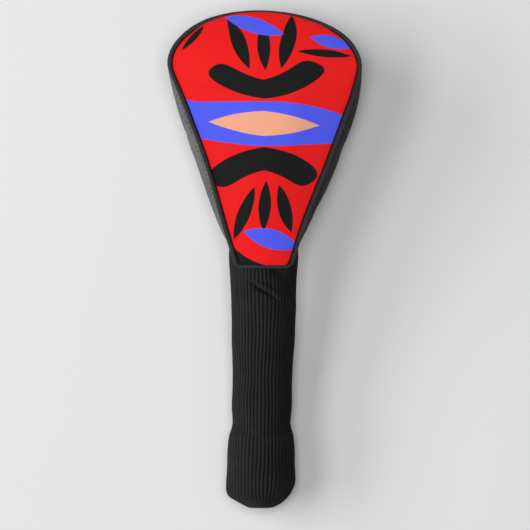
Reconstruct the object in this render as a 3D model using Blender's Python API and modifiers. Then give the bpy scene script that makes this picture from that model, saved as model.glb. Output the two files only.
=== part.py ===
"""Driver head cover: a padded hood for a golf driver with a ribbed knit sock and a gathered cuff.

The cover lies on its sole panel. +Y runs along it from the cuff's mouth to the toe end of the hood,
+Z points out of the crown panel, and the origin is on the surface it lies on, under its middle.
Run with: blender --background --python part.py
"""

import math

import bmesh
import bpy
from mathutils import Vector
from mathutils.geometry import interpolate_bezier

MM = 0.001
GAP = 0.3 * MM  # between pieces that touch

# ---- Driving dimensions of the hood ----
TOE_Y = 168.75 * MM  # the toe end of the widest outline
WIDEST = 65.8 * MM  # half of the hood's width
WIDEST_Y = 132.0 * MM
POLE_Y = 104.0 * MM  # the crown's highest point, where its rows turn into rays
NECK_Y = 10.0 * MM  # where the side and sole panels stop at the knit
NECK_HALF = 23.9 * MM
TONGUE_Y = -3.4 * MM  # the crown panel's lower edge, which laps over the knit
TONGUE_CORNER_Y = -0.9 * MM  # where its round corners start
TONGUE_CORNER_X = 14.0 * MM  # and where they end
LINED_Y = 32.0 * MM  # where foam and lining stop

CROWN_PEAK = 79.0 * MM
CROWN_NECK = 55.4 * MM
CROWN_SEAM = 56.0 * MM
CROWN_SEAM_NECK = 49.2 * MM
SOLE_SEAM = 11.0 * MM
SOLE_SEAM_NECK = 21.5 * MM
SOLE_NECK = 13.4 * MM
SOLE_LIFT_Y = 84.0 * MM  # the sole is flat beyond this and lifts towards the neck
SOLE_FLAT_SHARE = 0.6  # of the sole's width that lies flat

# ---- Layers, outside to inside, as depths below the outer surface ----
SKIN = 1.2 * MM
FOAM_TOP = SKIN + GAP
FOAM = 3.0 * MM
SIDE_FOAM = 2.4 * MM
LINING = 1.0 * MM
PIPING_R = 1.55 * MM
SOLE_PIPING_R = 1.2 * MM
TOE_SEAM_X = 0.25 * MM  # half of the gap between the left and right side panels

# ---- The knit sock ----
KNIT = 2.2 * MM
CUFF_KNIT = 1.3 * MM
SOCK_TOP_Y = 25.0 * MM
COLLAR_END_Y = -8.0 * MM
TUBE_TOP_Y = -42.0 * MM
TUBE_END_Y = -84.0 * MM
END_TOP_Y = -112.3 * MM
CUFF_HEM_Y = -122.0 * MM
MOUTH_Y = -170.0 * MM
NECK_AXIS_Z = 33.9 * MM
CUFF_AXIS_Z = 19.5 * MM
SOCK_DRIFT = -2.7 * MM  # the sock leans this far to -X by its end
ELASTIC = 1.0 * MM

# ---- Joints: where the two bends turn, in the middle of each ----
SWAY_Y = (COLLAR_END_Y + TUBE_TOP_Y) / 2
FOLD_Y = (TUBE_END_Y + END_TOP_Y) / 2

# ---- Mesh steps, shared by every layer so that they nest ----
TOE_STEPS = 8
LINED_STEPS = 5  # rows from the pole to where the foam stops
NECK_STEPS = 2  # rows from there to the neck
CROWN_SHARES = (0.0, 0.06, 0.16, 0.36, 0.66, 1.0)  # from a panel's edge in to its spine
SOLE_SHARES = (0.0, 0.1, 0.24, 0.4, 0.7, 1.0)
SIDE_SHARES = (0.0, 0.12, 0.24, 0.5, 0.76, 0.88, 1.0)  # from the crown's seam down to the sole's
AROUND = 26


def mix(a, b, t):
    return a + (b - a) * t


def ease(low, high, value):
    """0 below low, 1 above high, and smooth in between."""
    t = min(max((value - low) / (high - low), 0.0), 1.0)
    return t * t * (3 - 2 * t)


def bezier(start, start_handle, end_handle, end, count):
    """Points of one cubic stretch in plan, as (x, y)."""
    flat = [Vector((p[0], p[1], 0.0)) for p in (start, start_handle, end_handle, end)]
    return [(p.x, p.y) for p in interpolate_bezier(*flat, count)]


class Outline:
    """The right half of a plan outline, from the toe end round the widest point to the neck."""

    def __init__(self, toe_y, widest, neck, shoulder_pull, neck_handle):
        toe_depth = toe_y - WIDEST_Y
        toe = bezier(
            (0, toe_y), (widest * 0.6, toe_y), (widest, WIDEST_Y + toe_depth * 0.6), (widest, WIDEST_Y), 40
        )
        handle = (neck[0] + neck_handle[0], neck[1] + neck_handle[1])
        side = bezier((widest, WIDEST_Y), (widest, WIDEST_Y - shoulder_pull), handle, neck, 40)
        self.points = toe + side[1:]
        self.neck = self.points[-1]
        self.neck_slope = neck_handle[0] / neck_handle[1]

    def half_width(self, y):
        """Half of the width at y, below the pole; straight on past the neck."""
        if y <= self.neck[1]:
            return self.neck[0] + (y - self.neck[1]) * self.neck_slope
        side = [p for p in self.points if p[1] <= WIDEST_Y + MM]
        for (x0, y0), (x1, y1) in zip(side, side[1:]):
            if y1 <= y <= y0:
                return mix(x0, x1, (y0 - y) / max(y0 - y1, 1e-9))
        return side[0][0]

    def reach(self, angle):
        """Distance from the pole to the outline at an angle above the X axis."""
        rays = [(math.atan2(y - POLE_Y, x), math.hypot(x, y - POLE_Y)) for x, y in self.points]
        for (a0, r0), (a1, r1) in zip(rays, rays[1:]):
            if a1 <= angle <= a0:
                return mix(r0, r1, (a0 - angle) / max(a0 - a1, 1e-9))
        return rays[0][1]

    def at(self, key):
        """The outline's point at a key: ("ray", angle) round the toe, or ("row", y) down the side."""
        kind, value = key
        if kind == "row":
            return Vector((self.half_width(value), value))
        r = self.reach(value)
        return Vector((r * math.cos(value), POLE_Y + r * math.sin(value)))

    def share(self, x, y):
        """0 on the spine and 1 on the outline."""
        if y <= POLE_Y:
            return abs(x) / self.half_width(y)
        r = math.hypot(x, y - POLE_Y)
        return r / self.reach(math.atan2(y - POLE_Y, abs(x)))


# The widest outline, the crown panel's edge and the sole panel's edge.
GIRTH = Outline(TOE_Y, WIDEST, (NECK_HALF, NECK_Y), 25 * MM, (21.4 * MM, 45 * MM))
CROWN_EDGE = Outline(
    TOE_Y - 0.5 * MM, 62.9 * MM, (17.5 * MM, TONGUE_CORNER_Y), 8 * MM, (20.4 * MM, 71 * MM)
)
SOLE_EDGE = Outline(165.0 * MM, 60.5 * MM, (19.6 * MM, NECK_Y), 25 * MM, (16.5 * MM, 45 * MM))


def side_keys(end_y):
    """Keys from the toe end to end_y, for Outline.at. Every list to one end has the same first keys."""
    rays = [("ray", math.pi / 2 * (1 - i / TOE_STEPS)) for i in range(TOE_STEPS)]
    rows = [("row", mix(POLE_Y, LINED_Y, i / LINED_STEPS)) for i in range(LINED_STEPS + 1)]
    if end_y < LINED_Y:
        rows += [("row", mix(LINED_Y, NECK_Y, (i + 1) / NECK_STEPS)) for i in range(NECK_STEPS)]
    if end_y < NECK_Y:
        rows.append(("row", end_y))
    return rays + rows


def outward(key):
    """The direction in plan that leaves the hood at a key."""
    kind, value = key
    if kind == "row":
        return Vector((1.0, 0.0))
    return Vector((math.cos(value), math.sin(value)))


def toe_share(key):
    """1 at the toe end, 0 down the sides."""
    kind, value = key
    return ease(math.radians(25), math.radians(88), value) if kind == "ray" else 0.0


def crown_seam_z(y):
    """Height of the crown panel's edge."""
    return mix(CROWN_SEAM_NECK, CROWN_SEAM, ease(4 * MM, 110 * MM, y))


def sole_seam_z(y):
    """Height of the sole panel's edge."""
    return mix(SOLE_SEAM_NECK, SOLE_SEAM, ease(NECK_Y, SOLE_LIFT_Y, y))


def crown_z(x, y):
    """Height of the crown's outer surface: a dome over the pole, an arch over the neck."""
    share = min(CROWN_EDGE.share(x, y), 1.0)
    if y > POLE_Y:
        angle = math.atan2(y - POLE_Y, abs(x))
        edge = CROWN_EDGE.at(("ray", angle))
        return mix(CROWN_PEAK, crown_seam_z(edge.y), share**2.2)
    spine = mix(CROWN_NECK, CROWN_PEAK, ease(TONGUE_Y - 14 * MM, POLE_Y, y))
    tongue_drop = 1.7 * MM * ease(14 * MM, -12 * MM, y)
    return mix(spine - tongue_drop, crown_seam_z(y), share**2.2)


def sole_z(x, y):
    """Height of the sole's outer surface: flat on the ground with a rolled edge, lifted at the neck."""
    share = min(SOLE_EDGE.share(x, y), 1.0)
    roll = max(0.0, (share - SOLE_FLAT_SHARE) / (1 - SOLE_FLAT_SHARE)) ** 2
    if y > SOLE_LIFT_Y:
        return mix(0.0, SOLE_SEAM, roll)
    lift = SOLE_NECK * ((SOLE_LIFT_Y - y) / (SOLE_LIFT_Y - NECK_Y)) ** 2
    return mix(lift, sole_seam_z(y), max(roll, share**2 * ease(50 * MM, NECK_Y, y)))


def crown_seam_point(key):
    """Centre of the crown piping: beside the panel's edge on the sides, under it at the toe."""
    toe = toe_share(key)
    edge = CROWN_EDGE.at(key)
    run = PIPING_R + 0.35 * MM
    angle = mix(math.radians(14), math.radians(84), toe)
    plan = edge + outward(key) * (run * math.cos(angle))
    return Vector((plan.x, plan.y, crown_z(edge.x, edge.y) - SKIN / 2 - run * math.sin(angle)))


def sole_seam_point(key):
    """Centre of the sole piping."""
    edge = SOLE_EDGE.at(key)
    plan = edge + outward(key) * (SOLE_PIPING_R + 0.45 * MM)
    return Vector((plan.x, plan.y, sole_seam_z(edge.y) + 0.9 * MM))


def side_point(key, share):
    """A point of a side panel's outer surface, 0 at the crown piping and 1 at the sole piping."""
    out = outward(key)
    top = crown_seam_point(key) + Vector((out.x, out.y, 0)) * 0.5 * MM
    top.z -= PIPING_R + 0.4 * MM
    low = sole_seam_point(key) + Vector((out.x, out.y, 0)) * 0.5 * MM
    low.z += SOLE_PIPING_R + 0.4 * MM
    point = top.lerp(low, share)
    middle = top.lerp(low, 0.5)
    girth = GIRTH.at(key)
    bulge = max((girth - middle.xy).dot(out), 0.4 * MM)
    bulge *= 4 * share * (1 - share)
    return point + Vector((out.x, out.y, 0)) * bulge


# ---- Blender helpers ----


def clear_scene():
    for obj in list(bpy.data.objects):
        bpy.data.objects.remove(obj)


def new_collection(name):
    collection = bpy.data.collections.new(name)
    bpy.context.scene.collection.children.link(collection)
    return collection


def new_material(name, colour, roughness):
    material = bpy.data.materials.new(name)
    material.use_nodes = True
    shader = material.node_tree.nodes["Principled BSDF"]
    shader.inputs["Base Color"].default_value = (*colour, 1.0)
    shader.inputs["Roughness"].default_value = roughness
    shader.inputs["Metallic"].default_value = 0.0
    return material


def grid_mesh(name, rows, flip=False, closed=False):
    """A surface through rows of points. Each row is a section of the loft; closed joins its ends."""
    shape = bmesh.new()
    verts = [[shape.verts.new(p) for p in row] for row in rows]
    for upper, lower in zip(verts, verts[1:]):
        last = len(upper) if closed else len(upper) - 1
        for i in range(last):
            j = (i + 1) % len(upper)
            corners = [upper[i], upper[j], lower[j], lower[i]]
            shape.faces.new(corners[::-1] if flip else corners)
    bmesh.ops.remove_doubles(shape, verts=shape.verts[:], dist=0.01 * MM)
    mesh = bpy.data.meshes.new(name)
    shape.to_mesh(mesh)
    shape.free()
    mesh.shade_smooth()
    return mesh


def add_layer(name, mesh, material, depth, thickness, mirror=False):
    """A sheet of material: the surface, moved inwards by depth, then given its thickness inwards."""
    obj = bpy.data.objects.new(name, mesh)
    COLLECTION.objects.link(obj)
    mesh.materials.append(material)
    if mirror:
        halves = obj.modifiers.new("halves", "MIRROR")
        halves.use_clip = True
        halves.merge_threshold = 0.02 * MM
    if depth:
        inwards = obj.modifiers.new("inwards", "DISPLACE")
        inwards.mid_level = 0.0
        inwards.strength = -depth
    solid = obj.modifiers.new("thickness", "SOLIDIFY")
    solid.thickness = thickness
    solid.offset = -1.0
    solid.use_even_offset = True
    return obj


def panel_mesh(name, edge_points, height, low_y, shares, flip):
    """Half of a crown or sole layer: rows from its edge in to the spine, following height(x, y)."""
    rows = []
    for x, y in edge_points:
        spine = (0.0, min(max(y, low_y), POLE_Y))
        row = []
        for share in shares:
            px, py = mix(x, spine[0], share), mix(y, spine[1], share)
            row.append((px, py, height(px, py)))
        rows.append(row)
    return grid_mesh(name, rows, flip)


def edge_of(outline, end_y):
    """Right half of a panel's edge, from the toe end to end_y."""
    return [tuple(outline.at(key)) for key in side_keys(end_y)]


def tongue_corner(start, low_y):
    """The tongue's lower edge: a round corner from the point start, then straight to the middle."""
    depth = start[1] - low_y
    down = (start[0] - 0.13 * depth, start[1] - 0.6 * depth)
    inwards = (TONGUE_CORNER_X + 0.55 * depth, low_y)
    corner = bezier(start, down, inwards, (TONGUE_CORNER_X, low_y), 5)[1:]
    return corner + [(TONGUE_CORNER_X / 2, low_y), (0.0, low_y)]


def tongue_edge():
    """Right half of the crown panel's edge, with the round-cornered tongue over the knit."""
    points = edge_of(CROWN_EDGE, TONGUE_CORNER_Y)
    return points + tongue_corner(points[-1], TONGUE_Y)


def sock_centre(y):
    """Middle of the sock's section at y."""
    x = SOCK_DRIFT * ease(20 * MM, MOUTH_Y, y)
    return Vector((x, y, mix(NECK_AXIS_Z, CUFF_AXIS_Z, ease(0.0, CUFF_HEM_Y + 8 * MM, y))))


def sock_section(y, half_width, half_height):
    """One oval section of the sock, as a ring of points."""
    x, y, z = sock_centre(y)
    ring = []
    for i in range(AROUND):
        turn = 2 * math.pi * i / AROUND
        ring.append((x + half_width * math.cos(turn), y, z + half_height * math.sin(turn)))
    return ring


def sock_half_sizes(y):
    """Half width and half height of the sock's outside: full under the tongue, slimmer below."""
    slack = ease(-30 * MM, -12 * MM, y)
    run = ease(-30 * MM, CUFF_HEM_Y, y)
    under_hood = ease(3 * MM, NECK_Y, y)
    half_width = mix(21.9 * MM, 19.9 * MM, run) + 1.5 * MM * (slack - under_hood)
    half_height = mix(17.6 * MM, 16.2 * MM, run) + 0.7 * MM * slack
    return half_width, half_height


def knit_ring(name, start_y, end_y, steps, material):
    """A length of the knit tube."""
    rows = []
    for i in range(steps + 1):
        y = mix(start_y, end_y, i / steps)
        rows.append(sock_section(y, *sock_half_sizes(y)))
    mesh = grid_mesh(name, rows, closed=True)
    return add_layer(name, mesh, material, 0.0, KNIT)


def band(name, start_y, end_y, half_width, half_height, thickness, material):
    """A flat elastic or tape ring."""
    rows = [sock_section(y, half_width, half_height) for y in (start_y, end_y)]
    return add_layer(name, grid_mesh(name, rows, closed=True), material, 0.0, thickness)


def piping(name, points, radius, material, closed):
    """A welt cord along a seam: a bevelled curve with filled caps."""
    curve = bpy.data.curves.new(name, "CURVE")
    curve.dimensions = "3D"
    curve.bevel_depth = radius
    curve.bevel_resolution = 2
    curve.use_fill_caps = True
    spline = curve.splines.new("POLY")
    spline.points.add(len(points) - 1)
    for target, p in zip(spline.points, points):
        target.co = (*p, 1.0)
    spline.use_cyclic_u = closed
    curve.materials.append(material)
    obj = bpy.data.objects.new(name, curve)
    COLLECTION.objects.link(obj)
    return obj


# ---- The pieces ----


def build_crown(skin, foam, lining):
    """The printed crown panel and its foam and lining."""
    mesh = panel_mesh("crown_panel", tongue_edge(), crown_z, NECK_Y, CROWN_SHARES, flip=False)
    add_layer("crown_panel", mesh, skin, 0.0, SKIN, mirror=True)
    for name, material, depth, thickness in (
        ("crown_foam", foam, FOAM_TOP, FOAM),
        ("crown_lining", lining, FOAM_TOP + FOAM + GAP, LINING),
    ):
        edge = edge_of(CROWN_EDGE, LINED_Y)
        mesh = panel_mesh(name, edge, crown_z, LINED_Y, CROWN_SHARES[1:], flip=False)
        add_layer(name, mesh, material, depth, thickness, mirror=True)


def build_sole(skin, foam, lining):
    """The sole panel and its foam and lining."""
    mesh = panel_mesh("sole_panel", edge_of(SOLE_EDGE, NECK_Y), sole_z, NECK_Y, SOLE_SHARES, flip=True)
    add_layer("sole_panel", mesh, skin, 0.0, SKIN, mirror=True)
    for name, material, depth, thickness in (
        ("sole_foam", foam, FOAM_TOP, FOAM),
        ("sole_lining", lining, FOAM_TOP + FOAM + GAP, LINING),
    ):
        edge = edge_of(SOLE_EDGE, LINED_Y)
        mesh = panel_mesh(name, edge, sole_z, LINED_Y, SOLE_SHARES[1:], flip=True)
        add_layer(name, mesh, material, depth, thickness, mirror=True)


def side_strip(name, side, end_y, shares):
    """The surface of one side panel or one of its layers; side is 1 for right and -1 for left."""
    rows = []
    for key in side_keys(end_y):
        points = [side_point(key, share) for share in shares]
        rows.append([(side * max(p.x, TOE_SEAM_X), p.y, p.z) for p in points])
    return grid_mesh(name, rows, flip=side > 0)


def build_sides(skin, foam, lining):
    """Left and right side panels, each with its foam and lining."""
    inner_shares = SIDE_SHARES[2:-2]
    for side, suffix in ((1, "right"), (-1, "left")):
        name = f"side_panel_{suffix}"
        add_layer(name, side_strip(name, side, NECK_Y, SIDE_SHARES), skin, 0.0, SKIN)
        name = f"side_foam_{suffix}"
        add_layer(name, side_strip(name, side, LINED_Y, inner_shares), foam, FOAM_TOP, SIDE_FOAM)
        name = f"side_lining_{suffix}"
        mesh = side_strip(name, side, LINED_Y, inner_shares)
        add_layer(name, mesh, lining, FOAM_TOP + SIDE_FOAM + GAP, LINING)


def mirrored_loop(half):
    """A closed loop from its right half, which runs from the toe end (x = 0) round to x = 0."""
    right = half[1:-1]
    left = [Vector((-p.x, p.y, p.z)) for p in reversed(right)]
    return [half[0], *right, half[-1], *left]


def build_piping(leather):
    """Welt cords along the crown's seam and the sole's seam."""
    crown = [crown_seam_point(key) for key in side_keys(TONGUE_CORNER_Y)]
    run = PIPING_R + 0.35 * MM
    panel_half = CROWN_EDGE.half_width(TONGUE_Y)
    for x, y in tongue_corner(crown[-1].xy, TONGUE_Y - run):
        crown.append(Vector((x, y, crown_z(min(x, panel_half), TONGUE_Y) - SKIN / 2)))
    crown[0].x = 0.0
    piping("crown_piping", mirrored_loop(crown), PIPING_R, leather, closed=True)
    sole = [sole_seam_point(key) for key in side_keys(NECK_Y)]
    sole[0].x = 0.0
    left = [Vector((-p.x, p.y, p.z)) for p in reversed(sole[1:])]
    piping("sole_piping", left + sole, SOLE_PIPING_R, leather, closed=False)


def build_sock(knit, elastic, tape):
    """The knit tube from the hood to the cuff, with the elastic and tape at the neck."""
    knit_ring("knit_collar", SOCK_TOP_Y, COLLAR_END_Y, 5, knit)
    knit_ring("knit_neck_bend", COLLAR_END_Y - GAP, TUBE_TOP_Y + GAP, 4, knit)
    knit_ring("knit_tube", TUBE_TOP_Y, TUBE_END_Y, 4, knit)
    knit_ring("knit_cuff_bend", TUBE_END_Y - GAP, END_TOP_Y + GAP, 3, knit)
    half_width, half_height = sock_half_sizes(NECK_Y)
    inset = KNIT + GAP
    band("neck_elastic", 18 * MM, 10 * MM, half_width - inset, half_height - inset, ELASTIC, elastic)
    tape_start = SOCK_TOP_Y + GAP
    band("neck_binding", tape_start + 4 * MM, tape_start, half_width, half_height, KNIT, tape)


def build_cuff(knit, elastic):
    """The cuff: the knit's end turned in on itself and gathered to the mouth, with elastic in the fold."""
    outer = [
        (END_TOP_Y, 20.1, 16.4),
        (-116 * MM, 20.9, 17.0),
        (-121 * MM, 22.3, 18.0),
        (-128 * MM, 22.9, 18.6),
        (-142 * MM, 23.5, 19.3),
        (-153 * MM, 23.8, 19.5),
        (-158 * MM, 22.8, 18.9),
        (-163.5 * MM, 18.9, 16.2),
        (-167.2 * MM, 14.4, 12.8),
        (-169.4 * MM, 11.2, 10.2),
        (MOUTH_Y, 9.6, 9.0),
    ]
    inner = [
        (-169.3 * MM, 8.0, 7.7),
        (-167.6 * MM, 7.2, 7.0),
        (-165.2 * MM, 7.8, 7.5),
        (-160.5 * MM, 13.6, 11.8),
        (-155 * MM, 18.0, 14.4),
        (-142 * MM, 18.6, 15.0),
        (-129 * MM, 19.0, 15.2),
        (CUFF_HEM_Y, 18.6, 14.6),
    ]
    rows = [sock_section(y, a * MM, b * MM) for y, a, b in outer + inner]
    add_layer("cuff", grid_mesh("cuff", rows, closed=True), knit, 0.0, CUFF_KNIT)
    band("cuff_elastic", -146 * MM, -154 * MM, 21.7 * MM, 17.5 * MM, ELASTIC, elastic)


def joint_axis(name, y, parent, pieces):
    """An empty on a joint's axis, in the middle of the sock's bend, with the pieces that it carries."""
    centre = sock_centre(y)
    axis = bpy.data.objects.new(name, None)
    axis.parent = parent
    axis.location = centre - (parent.location if parent else Vector())
    COLLECTION.objects.link(axis)
    for piece in pieces:
        obj = bpy.data.objects[piece]
        obj.parent = axis
        obj.location = -centre
    return axis


def build_joints():
    """The sock turns on the hood at the neck bend, and the cuff folds on the sock at the cuff bend."""
    sway = joint_axis("sock_sway_axis", SWAY_Y, None, ("knit_neck_bend", "knit_tube"))
    joint_axis("cuff_fold_axis", FOLD_Y, sway, ("knit_cuff_bend", "cuff", "cuff_elastic"))


clear_scene()
COLLECTION = new_collection("driver_head_cover")
PRINTED = new_material("printed_microfibre", (0.84, 0.02, 0.02), 0.55)
LEATHER = new_material("black_synthetic_leather", (0.018, 0.019, 0.019), 0.42)
FOAM_PAD = new_material("foam", (0.62, 0.60, 0.55), 0.95)
FLEECE = new_material("lining_fleece", (0.10, 0.10, 0.11), 0.95)
KNITTED = new_material("rib_knit", (0.02, 0.02, 0.021), 0.9)
RUBBERED = new_material("elastic", (0.75, 0.75, 0.72), 0.7)
TAPE = new_material("binding_tape", (0.03, 0.03, 0.03), 0.8)

build_crown(PRINTED, FOAM_PAD, FLEECE)
build_sole(LEATHER, FOAM_PAD, FLEECE)
build_sides(LEATHER, FOAM_PAD, FLEECE)
build_piping(LEATHER)
build_sock(KNITTED, RUBBERED, TAPE)
build_cuff(KNITTED, RUBBERED)
build_joints()
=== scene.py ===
"""Looks of the driver head cover: printed crown, leather sides, piping and a rib-knit sock."""

import math

import bmesh
import bpy
import numpy as np
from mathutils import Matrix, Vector, noise
from mathutils.geometry import interpolate_bezier


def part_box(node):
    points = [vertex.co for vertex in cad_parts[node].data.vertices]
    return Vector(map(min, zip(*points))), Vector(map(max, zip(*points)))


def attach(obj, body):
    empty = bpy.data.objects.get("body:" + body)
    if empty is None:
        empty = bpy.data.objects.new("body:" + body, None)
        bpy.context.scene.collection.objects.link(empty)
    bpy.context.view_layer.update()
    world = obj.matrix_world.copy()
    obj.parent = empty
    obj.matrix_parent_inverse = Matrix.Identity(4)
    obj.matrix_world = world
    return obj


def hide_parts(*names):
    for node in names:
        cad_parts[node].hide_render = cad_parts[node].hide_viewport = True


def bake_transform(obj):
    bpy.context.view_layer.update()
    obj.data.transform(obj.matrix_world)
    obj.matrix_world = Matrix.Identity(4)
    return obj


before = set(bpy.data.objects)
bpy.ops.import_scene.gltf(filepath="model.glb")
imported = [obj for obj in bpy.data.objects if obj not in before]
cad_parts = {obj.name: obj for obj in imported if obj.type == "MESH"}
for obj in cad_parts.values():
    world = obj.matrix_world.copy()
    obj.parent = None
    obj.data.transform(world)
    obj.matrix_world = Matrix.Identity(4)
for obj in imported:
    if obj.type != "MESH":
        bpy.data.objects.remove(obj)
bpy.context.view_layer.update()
MM = 0.001

# ---- Sizes read from the frame ----
CROWN_LOW, CROWN_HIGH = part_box("crown_panel")
SIDE_LOW, SIDE_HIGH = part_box("side_panel_right")
COLLAR_LOW, COLLAR_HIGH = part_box("knit_collar")
TUBE_LOW, TUBE_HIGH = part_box("knit_tube")
CUFF_LOW, CUFF_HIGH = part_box("cuff")
TOE_Y = CROWN_HIGH.y + 0.5 * MM
CROWN_PEAK = CROWN_HIGH.z
TONGUE_Y = CROWN_LOW.y
WIDEST = SIDE_HIGH.x
NECK_Y = SIDE_LOW.y
SOLE_TOE_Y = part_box("sole_panel")[1].y
SOCK_TOP_Y, COLLAR_END_Y = COLLAR_HIGH.y, COLLAR_LOW.y
TUBE_TOP_Y, TUBE_END_Y = TUBE_HIGH.y, TUBE_LOW.y
END_TOP_Y, MOUTH_Y = CUFF_HIGH.y, CUFF_LOW.y

# ---- Driving dimensions of the hood, the same as the frame's ----
WIDEST_Y = 132.0 * MM
POLE_Y = 104.0 * MM  # outlines go by rays from the spine above it, and by rows below it
NECK_HALF = 23.9 * MM
TONGUE_CORNER_Y = -0.9 * MM
TONGUE_CORNER_X = 14.0 * MM
LINED_Y = 32.0 * MM
CROWN_NECK = 55.4 * MM
CROWN_SEAM = 56.0 * MM
CROWN_SEAM_NECK = 49.2 * MM
SOLE_SEAM = 11.0 * MM
SOLE_SEAM_NECK = 21.5 * MM
SOLE_NECK = 13.4 * MM
SOLE_LIFT_Y = 84.0 * MM
SOLE_FLAT_SHARE = 0.6
TOE_ROUND = 0.54  # a little rounder than the frame's toe, because the padding swells there
PIPING_R = 1.55 * MM
TONGUE_PIPING_R = 1.25 * MM
SOLE_PIPING_R = 1.2 * MM
PIPING_DROP = 0.6 * MM  # how much lower the piping lies than the crown's edge

# ---- Layers ----
PAD = 4.3 * MM  # skin and foam together
SIDE_PAD = 3.7 * MM
LINING_DEPTH = 5.7 * MM  # from the crown's or sole's outer surface to its lining
LINING = 0.9 * MM
LINER_MARGIN = 8 * MM  # from the toe's seam to the lining

# ---- The knit ----
RIBS = 52
RIB_HEIGHT = 0.68 * MM
KNIT = 1.7 * MM
RING_STEP = 1.6 * MM
RIB_POINTS = 6
NECK_AXIS_Z = 33.9 * MM
CUFF_AXIS_Z = 19.5 * MM
SOCK_DRIFT = -2.7 * MM
CUFF_HEM_Y = -122.0 * MM
KNIT_SPLIT_Y = (TUBE_TOP_Y + TUBE_END_Y) / 2

# ---- What one unit of UV spans ----
FLAT_SPAN = 200 * MM  # on the crown and the sole
FLAT_ORIGIN = (0.5, 0.1)
FLAT_RIBS = 64  # round the knit
FLAT_LENGTH = 150 * MM  # along the knit

MIRROR = np.array([-1.0, 1.0, 1.0])


def mix(a, b, t):
    return a + (b - a) * t


def ease(low, high, value):
    """0 at low, 1 at high, smooth in between; takes numbers or arrays."""
    t = np.clip((value - low) / (high - low), 0.0, 1.0)
    return t * t * (3 - 2 * t)


def bezier(start, start_handle, end_handle, end, count):
    flat = [Vector((p[0], p[1], 0.0)) for p in (start, start_handle, end_handle, end)]
    return [(p.x, p.y) for p in interpolate_bezier(*flat, count)]


# ---- The hood's outlines in plan ----


class Outline:
    """The right half of a plan outline, from the toe end round the widest point to the neck."""

    def __init__(self, toe_y, widest, neck, shoulder_pull, neck_handle):
        toe_depth = toe_y - WIDEST_Y
        shoulder = (widest, WIDEST_Y + toe_depth * TOE_ROUND)
        toe = bezier((0, toe_y), (widest * TOE_ROUND, toe_y), shoulder, (widest, WIDEST_Y), 160)
        handle = (neck[0] + neck_handle[0], neck[1] + neck_handle[1])
        side = bezier((widest, WIDEST_Y), (widest, WIDEST_Y - shoulder_pull), handle, neck, 160)
        self.points = np.array(toe + side[1:])
        self.neck = self.points[-1]
        self.slope = neck_handle[0] / neck_handle[1]
        rays = np.arctan2(self.points[:, 1] - POLE_Y, self.points[:, 0])
        self.ray_angles = rays[::-1]
        self.ray_reach = np.hypot(self.points[:, 0], self.points[:, 1] - POLE_Y)[::-1]
        self.side = self.points[len(toe) - 1 :][::-1]

    def half_width(self, y):
        """Half of the width at y, below the widest point; straight on past the neck."""
        inside = np.interp(y, self.side[:, 1], self.side[:, 0])
        past = self.neck[0] + (y - self.neck[1]) * self.slope
        return np.where(y < self.neck[1], past, inside)

    def reach(self, angle):
        """Distance from the pole to the outline at an angle above the X axis."""
        return np.interp(angle, self.ray_angles, self.ray_reach)

    def at(self, ray, row):
        """Points at arrays of ray angles and row heights; a row counts where its ray is below 0."""
        reach = self.reach(ray)
        x = np.where(ray < 0, self.half_width(row), reach * np.cos(ray))
        y = np.where(ray < 0, row, POLE_Y + reach * np.sin(ray))
        return x, y

    def share(self, x, y):
        """0 on the spine and 1 on the outline."""
        x = np.abs(x)
        below = x / self.half_width(np.minimum(y, POLE_Y))
        above = np.hypot(x, y - POLE_Y) / self.reach(np.arctan2(np.maximum(y - POLE_Y, 0), x + 1e-9))
        return np.where(y <= POLE_Y, below, above)


GIRTH = Outline(TOE_Y, WIDEST, (NECK_HALF, NECK_Y), 25 * MM, (21.4 * MM, 45 * MM))
CROWN_EDGE = Outline(
    TOE_Y - 0.5 * MM, 62.9 * MM, (17.5 * MM, TONGUE_CORNER_Y), 8 * MM, (20.4 * MM, 71 * MM)
)
SOLE_EDGE = Outline(SOLE_TOE_Y, 60.5 * MM, (19.6 * MM, NECK_Y), 25 * MM, (16.5 * MM, 45 * MM))


def crown_seam_z(y):
    return mix(CROWN_SEAM_NECK, CROWN_SEAM, ease(4 * MM, 110 * MM, y))


def sole_seam_z(y):
    return mix(SOLE_SEAM_NECK, SOLE_SEAM, ease(NECK_Y, SOLE_LIFT_Y, y))


def crown_z(x, y):
    """Height of the crown's outer surface: a dome over the pole, an arch over the neck."""
    share = np.minimum(CROWN_EDGE.share(x, y), 1.0)
    spine = mix(CROWN_NECK, CROWN_PEAK, ease(TONGUE_Y - 14 * MM, POLE_Y, y))
    spine = spine - 1.7 * MM * ease(14 * MM, -12 * MM, y)
    top = np.where(y > POLE_Y, CROWN_PEAK, spine)
    return mix(top, crown_seam_z(y), share**2.2)


def sole_z(x, y):
    """Height of the sole's outer surface: flat on the ground with a rolled edge, lifted at the neck."""
    share = np.minimum(SOLE_EDGE.share(x, y), 1.0)
    roll = np.maximum(0.0, (share - SOLE_FLAT_SHARE) / (1 - SOLE_FLAT_SHARE)) ** 2
    lift = SOLE_NECK * (np.maximum(SOLE_LIFT_Y - y, 0.0) / (SOLE_LIFT_Y - NECK_Y)) ** 2
    arch = np.maximum(roll, share**2 * ease(50 * MM, NECK_Y, y))
    return mix(lift, sole_seam_z(y), np.where(y > SOLE_LIFT_Y, roll, arch))


def seam_keys(end_y, toe_count, side_count):
    """Ray angles and rows from the toe end to end_y, for Outline.at."""
    ray = np.concatenate([np.linspace(math.pi / 2, 0, toe_count, endpoint=False), -np.ones(side_count + 1)])
    row = np.concatenate([np.zeros(toe_count), np.linspace(POLE_Y, end_y, side_count + 1)])
    return ray, row


def outward(ray):
    """Unit vectors in plan that leave the hood."""
    return np.where(ray < 0, 1.0, np.cos(ray)), np.where(ray < 0, 0.0, np.sin(ray))


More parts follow.
